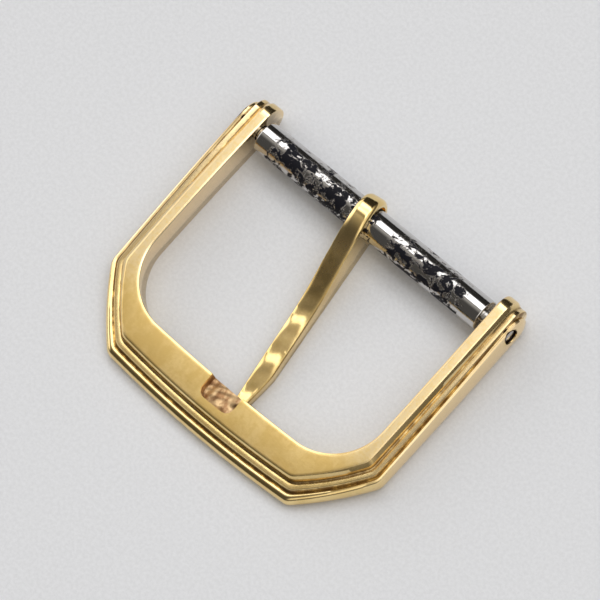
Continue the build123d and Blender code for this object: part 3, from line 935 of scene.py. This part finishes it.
class Paint:
    """A node tree and the shader that it feeds."""

    def __init__(self, tree, shader):
        self.tree = tree
        self.shader = tree.nodes[shader]

    def node(self, kind, settings, inputs, output=0):
        """Add a node, set it up, link or fill its inputs, and return one of its outputs."""
        made = self.tree.nodes.new(kind)
        for key, value in settings.items():
            setattr(made, key, value)
        for key, value in inputs.items():
            if isinstance(value, Value):
                self.tree.links.new(value.socket, made.inputs[key])
            else:
                made.inputs[key].default_value = value
        return Value(self, made.outputs[output])

    def place(self, kind="Object"):
        """Where a point is, in the frame's metres; for the world, its direction."""
        return self.node("ShaderNodeTexCoord", {}, {}, kind)

    def parts(self, vector):
        """x, y and z of a vector."""
        return [self.node("ShaderNodeSeparateXYZ", {}, {0: vector}, i) for i in range(3)]

    def mark(self, name):
        """A value that the mesh carries at its points."""
        return self.node("ShaderNodeAttribute", {"attribute_name": name}, {}, "Fac")

    def stretched(self, vector, scale, turn=(0, 0, 0)):
        """A vector turned, and scaled along each axis."""
        return self.node("ShaderNodeMapping", {}, {"Vector": vector, "Scale": scale, "Rotation": turn})

    def noise(self, vector, scale, detail=4.0, roughness=0.55, distortion=0.0):
        inputs = {"Vector": vector, "Scale": scale, "Detail": detail}
        inputs.update({"Roughness": roughness, "Distortion": distortion})
        return self.node("ShaderNodeTexNoise", {}, inputs, "Fac")

    def mix(self, factor, first, second):
        """The first colour at factor 0, the second at 1."""
        first, second = (c if isinstance(c, Value) else (*c, 1) for c in (first, second))
        return self.node("ShaderNodeMix", {"data_type": "RGBA"}, {0: factor, 6: first, 7: second}, 2)

    def bump(self, height, strength, distance):
        inputs = {"Strength": strength, "Distance": distance, "Height": height}
        return self.node("ShaderNodeBump", {}, inputs)

    def set(self, **inputs):
        """Feed the shader: names with underscores for spaces."""
        for key, value in inputs.items():
            socket = self.shader.inputs[key.replace("_", " ")]
            if isinstance(value, Value):
                self.tree.links.new(value.socket, socket)
            else:
                socket.default_value = value


def new_material(name):
    """A material, and the tools to paint it."""
    material = bpy.data.materials.new(name)
    material.use_nodes = True
    return material, Paint(material.node_tree, "Principled BSDF")


# The arms' pale gold is a painted highlight and reflection that makes them paler than the crossbar.
# It starts and is full at these distances ahead of the bar, in millimetres.
ARM_SHEEN_START, ARM_SHEEN_FULL = 11.2, 8.5
# Black round a pivot, painted shade in its hole and dirt with painted shade on the ear: at these
# squares of the distance from its axis
HOLE_SQUARES = (0.22, 0.26)
EAR_SQUARES = (0.5, 2.6)
# The bar's flakes end at these places along it, and stop on both sides of the tang
FLAKES_FROM, FLAKES_TO, FLAKES_SOFT = -7.0, 6.7, 0.35
TANG_CLEAN_FROM, TANG_CLEAN_TO, TANG_CLEAN_SOFT = 0.45, 1.3, 0.3


def gold_coat(paint, colours, lit_arm):
    """Worn gold plating: satin and cloudy on top, pale along the arms as a painted reflection and
    highlight, dirty and painted darker as shade in the grooves.

    The arms' mask is 1 on the frame's arms and 0 elsewhere, and places that painted highlight.
    Returns the patterns, colour, roughness and height.
    """
    place = paint.place()
    satin, grime_and_shade, pale = (paint.mark(name) for name in ("satin", "grime_and_shade", "pale"))
    cloud = paint.noise(place, 520, 5, 0.6, 0.6)
    blotch = paint.noise(paint.stretched(place, (2600, 1500, 2000)), 1, 4, 0.6)
    grain = paint.noise(place, 9000, 3, 0.6)
    speck = paint.noise(place, 5200, 3, 0.6)
    scratch = paint.noise(paint.stretched(place, (1500, 22000, 9000), (0, 0, 0.9)), 1, 2, 0.5)
    dull = cloud.rise(0.35, 0.7) * 0.5 + blotch.rise(0.45, 0.75) * satin * 0.4
    # Deep gold where worn dull and on satin away from the arms; on the crossbar's top it is a painted
    # shade
    base = paint.mix(dull + satin * (1 - lit_arm) * 0.6, colours.gold, colours.deep_gold)
    # Pale gold along the arms, fullest on the walls: a painted reflection of the board and a painted
    # highlight
    base = paint.mix(lit_arm * (0.10 + pale * 0.75), base, colours.pale_gold)
    # Satin gold on the arms' tops: a painted highlight, the lit copy of the crossbar's satin
    base = paint.mix(lit_arm * satin * 0.75, base, colours.satin_gold)
    base = paint.mix(speck.rise(0.45, 0.62) * satin * 0.4, base, colours.deep_gold)
    # Dark brown in the grooves, dirt and painted shade, and on the tang's neck, painted shade
    darkening = grime_and_shade * blotch.rise(0.25, 0.6)
    base = paint.mix(darkening * 0.95, base, colours.grime_and_shade)
    rough = 0.09 + satin * 0.22 + blotch * satin * 0.12 + grain * 0.05 + darkening * 0.2
    height = grain * (0.2 + satin) + scratch * 0.6 * satin + speck * satin * 2.6
    return SimpleNamespace(
        cloud=cloud, blotch=blotch, speck=speck, base=base, rough=rough, height=height
    )


def set_gold(paint, base, rough, height):
    """Feed a gold shader its colour, its roughness and a fine bump."""
    bump = paint.bump(height, 0.35, 5e-6)
    paint.set(Base_Color=base, Metallic=1.0, Roughness=rough, Normal=bump)


def tang_gold(context):
    """The tang's plating."""
    material, paint = new_material("tang_gold")
    coat = gold_coat(paint, context.scene.buckle_colours, 0)
    set_gold(paint, coat.base, coat.rough, coat.height)
    return material


def frame_gold(context):
    """The frame's plating, rubbed through to copper in the notch and black round the pivots."""
    colours = context.scene.buckle_colours
    s = millimetres(context.scene.buckle_frame_sizes)
    material, paint = new_material("frame_gold")
    x, y, z = paint.parts(paint.place())
    # The arms' mask places the painted highlight of pale gold along the arms
    coat = gold_coat(paint, colours, y.rise((BAR_Y - ARM_SHEEN_START) * MM, (BAR_Y - ARM_SHEEN_FULL) * MM))
    hewn = in_notch(s, x, y, z)
    copper = paint.mix(coat.blotch.rise(0.35, 0.65), colours.burnt, colours.copper)
    base = paint.mix(hewn, coat.base, copper)
    # Black round the pivots: dirt and painted shade on the ears' inner sides, painted shade in the
    # holes
    soot_and_shade, hole_shade = pivot_soot_and_shade(s, x, y, z)
    soot_and_shade = soot_and_shade * coat.blotch.rise(0.2, 0.5)
    base = paint.mix(soot_and_shade.math("MAXIMUM", soot_and_shade, hole_shade), base, colours.soot_and_shade)
    height = coat.height + hewn * (coat.cloud + coat.speck) * 3
    set_gold(paint, base, coat.rough + hewn * 0.22 + hole_shade * 0.5, height)
    return material


def in_notch(s, x, y, z):
    """1 inside the notch and 0 outside, with soft edges."""
    half = s.notch_width / 2 + 0.03
    front = BAR_Y - s.window_length
    across = x.band((s.notch_offset - half) * MM, (s.notch_offset + half) * MM, 0.02 * MM)
    along = y.band((front - s.notch_reach - 0.02) * MM, (front + 1) * MM, 0.03 * MM)
    floor, top = s.notch_floor - 0.2, s.plateau_sunk + 0.02
    return across * along * z.band(floor * MM, top * MM, 0.03 * MM)


def pivot_soot_and_shade(s, x, y, z):
    """How black it is round the pivots: on the ears' inner sides, dirt and painted shade between the
    bar and the ear, and inside their holes, painted shade.
    """
    ahead, above = y - BAR_Y * MM, z - BAR_Z * MM
    square = (ahead * ahead + above * above) * MM**-2
    out = x.math("ABSOLUTE", x)
    inner = s.ear_gap / 2
    outer = inner + s.ear_thickness
    inside = 1 - out.rise((inner + 0.02) * MM, (inner + 0.10) * MM)
    hole_shade = (1 - square.rise(*HOLE_SQUARES)) * (1 - out.rise((outer - 0.03) * MM, (outer + 0.01) * MM))
    return inside * (1 - square.rise(*EAR_SQUARES)), hole_shade


def bar_steel(context):
    """Bright drawn steel with ragged black flakes, clean beside the tang and at both ends."""
    colours = context.scene.buckle_colours
    material, paint = new_material("bar_steel")
    place = paint.place()
    x, y, z = paint.parts(place)
    ragged = paint.noise(paint.stretched(place, (1.0, 1.3, 1.3)), 1900, 9, 0.70, 0.5)
    field = paint.noise(place, 420, 3, 0.5)
    fine = paint.noise(place, 6500, 4, 0.7)
    line = paint.noise(paint.stretched(place, (900, 30000, 30000)), 1, 2, 0.5)
    beside = x.band(TANG_CLEAN_FROM * MM, TANG_CLEAN_TO * MM, TANG_CLEAN_SOFT * MM)
    clean = 1 - x.band(FLAKES_FROM * MM, FLAKES_TO * MM, FLAKES_SOFT * MM)
    clean = clean + beside * z.rise(1.1 * MM, 1.8 * MM)
    behind = (y - BAR_Y * MM).rise(0.1 * MM, 0.6 * MM)
    patch = ragged + field * 0.16 + fine * 0.12 - clean * 0.20 - behind * 0.10
    flakes = patch.rise(0.624, 0.637)
    stain = (patch.rise(0.53, 0.63) * 0.5 + fine.rise(0.5, 0.7) * 0.25) * (1 - clean * 0.8)
    base = paint.mix(stain, colours.steel, colours.stain)
    base = paint.mix(flakes, base, colours.tarnish)
    paint.set(
        Base_Color=base,
        Metallic=1 - flakes,
        Roughness=0.10 + stain * 0.22 + flakes * 0.3,
        Specular_IOR_Level=0.12,
        Normal=paint.bump(flakes + stain * 0.3 + line * 0.12, 0.5, 8e-6),
    )
    return material


def plain_steel(name, context):
    """Clean steel with a fine turned grain."""
    colours = context.scene.buckle_colours
    material, paint = new_material(name)
    grain = paint.noise(paint.stretched(paint.place(), (9000, 700, 700)), 1, 3)
    base = paint.mix(grain, colours.steel, colours.stain)
    bump = paint.bump(grain, 0.2, 4e-6)
    paint.set(Base_Color=base, Metallic=1.0, Roughness=0.16 + grain * 0.12, Normal=bump)
    return material


def board_finish(context):
    """Matt pale board with a fine leathery grain."""
    floor = context.scene.buckle_colours.floor
    material, paint = new_material("board")
    place = paint.place()
    grain = paint.noise(place, 5200, 3, 0.6)
    swell = paint.noise(place, 90, 2, 0.5)
    low, high, faint = ([share * channel for channel in floor] for share in (0.955, 1.045, 0.9))
    base = paint.mix(grain.rise(0.25, 0.75), low, high)
    base = paint.mix(swell * 0.08, base, faint)
    bump = paint.bump(grain, 0.3, 3e-5)
    paint.set(Base_Color=base, Roughness=0.5, Specular_IOR_Level=0.3, Normal=bump)
    return material


def finish_piece(piece, material, body, slot, *nodes):
    """One material, riding on a body, in place of its CAD nodes."""
    piece.data.materials.clear()
    piece.data.materials.append(material)
    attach(piece, body)
    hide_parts(*nodes)


# Stage


# The photograph's camera, fitted: angles in degrees, distance from the bar and lens in millimetres
CAMERA_AZIMUTH = 63.97
CAMERA_ELEVATION = 68.78
CAMERA_ROLL = -23.05
CAMERA_DISTANCE = 287.86
CAMERA_LENS = 332.7
# How far it aims beside the bar, right and up, as shares of the distance
AIM_SHARES = (-0.01336, -0.01347)
# Half the board's side, in metres
BOARD_REACH = 0.6


def photo_camera():
    """Camera on the line of sight of the photograph, aimed a little beside the spring bar."""
    az, el, roll = (math.radians(v) for v in (CAMERA_AZIMUTH, CAMERA_ELEVATION, CAMERA_ROLL))
    out = Vector((math.sin(az) * math.cos(el), -math.cos(az) * math.cos(el), math.sin(el)))
    side = Vector((math.cos(az), math.sin(az), 0))
    rise = out.cross(side)
    right = math.cos(roll) * side + math.sin(roll) * rise
    up = -math.sin(roll) * side + math.cos(roll) * rise
    target = Vector((0, BAR_Y, BAR_Z)) * MM
    ahead = (-out + AIM_SHARES[0] * right + AIM_SHARES[1] * up).normalized()
    right = ahead.cross(up).normalized()
    up = right.cross(ahead)
    camera = bpy.data.objects.new("photo_camera", bpy.data.cameras.new("photo_camera"))
    camera.data.lens = CAMERA_LENS
    camera.data.clip_start = 0.01
    camera.data.clip_end = 5
    turn = Matrix((right, up, -ahead)).transposed().to_4x4()
    camera.matrix_world = Matrix.Translation(target + out * CAMERA_DISTANCE * MM) @ turn
    bpy.context.scene.collection.objects.link(camera)
    return camera


def studio_light():
    """Soft box high behind the bar, pale walls on the left and the right, and a dim front.

    The light depends on the direction alone: x, y and z of the unit vector towards it.
    """
    world = bpy.data.worlds.new("studio")
    world.use_nodes = True
    paint = Paint(world.node_tree, "Background")
    x, y, z = paint.parts(paint.place("Generated"))
    box = x.band(-0.56, 0.40, 0.08) * y.band(0.10, 0.65, 0.06) * z.rise(0.2, 0.35)
    seam = 1 - y.band(0.24, 0.42, 0.05) * 0.35
    left = (1 - x.rise(-0.78, -0.52)) * z.rise(0.05, 0.3) * y.band(-0.7, 0.7, 0.15)
    glow = 0.05 + y.rise(-0.42, -0.02) * 0.34 + y.rise(-0.14, 0) * 0.22
    front = (1 - y.rise(-0.1, 0.10)) * glow
    right = x.rise(0.0, 0.45) * (0.12 + z.rise(0.30, 0.60) * 0.8)
    level = box * seam * 2.75 + left * 1.5 + (front + right + 0.03) * z.rise(-0.02, 0.12)
    tint = paint.mix(level.rise(0.3, 2.4), (1.05, 0.99, 0.90), (0.99, 1.0, 1.02))
    paint.set(Color=tint, Strength=level)
    return world


class BUCKLE_OT_stage(Operator):
    """Lay the pale board and set the light and the camera"""

    bl_idname = "buckle.stage"
    bl_label = "Stage"

    def execute(self, context):
        scene = context.scene
        mesh = bpy.data.meshes.new("board")
        reach = BOARD_REACH
        corners = [(-reach, -reach, 0), (reach, -reach, 0), (reach, reach, 0), (-reach, reach, 0)]
        mesh.from_pydata(corners, [], [(0, 1, 2, 3)])
        board = bpy.data.objects.new("board", mesh)
        scene.collection.objects.link(board)
        mesh.materials.append(board_finish(context))
        scene.world = studio_light()
        scene.view_settings.view_transform = "Standard"
        scene.camera = photo_camera()
        return {"FINISHED"}


class BUCKLE_PT_panel(Panel):
    """Builds the buckle piece by piece"""

    bl_label = "Watch Tang Buckle"
    bl_idname = "BUCKLE_PT_panel"
    bl_space_type = "VIEW_3D"
    bl_region_type = "UI"
    bl_category = "Buckle"

    def draw(self, context):
        for step in STEPS:
            self.layout.operator(step.bl_idname)


STEPS = (BUCKLE_OT_stage, BUCKLE_OT_frame, BUCKLE_OT_tang, BUCKLE_OT_spring_bar)
GROUPS = {
    "buckle_frame_sizes": BuckleFrameSizes,
    "buckle_tang_sizes": TangSizes,
    "buckle_bar_sizes": SpringBarSizes,
    "buckle_colours": BuckleColours,
}


def register():
    for item in (*GROUPS.values(), *STEPS, BUCKLE_PT_panel):
        bpy.utils.register_class(item)
    for name, group in GROUPS.items():
        setattr(bpy.types.Scene, name, PointerProperty(type=group))


def unregister():
    for name in GROUPS:
        delattr(bpy.types.Scene, name)
    for item in (BUCKLE_PT_panel, *reversed(STEPS), *GROUPS.values()):
        bpy.utils.unregister_class(item)


def main():
    register()
    for step in STEPS:
        group, name = step.bl_idname.split(".")
        getattr(getattr(bpy.ops, group), name)()


if __name__ == "__main__":
    main()
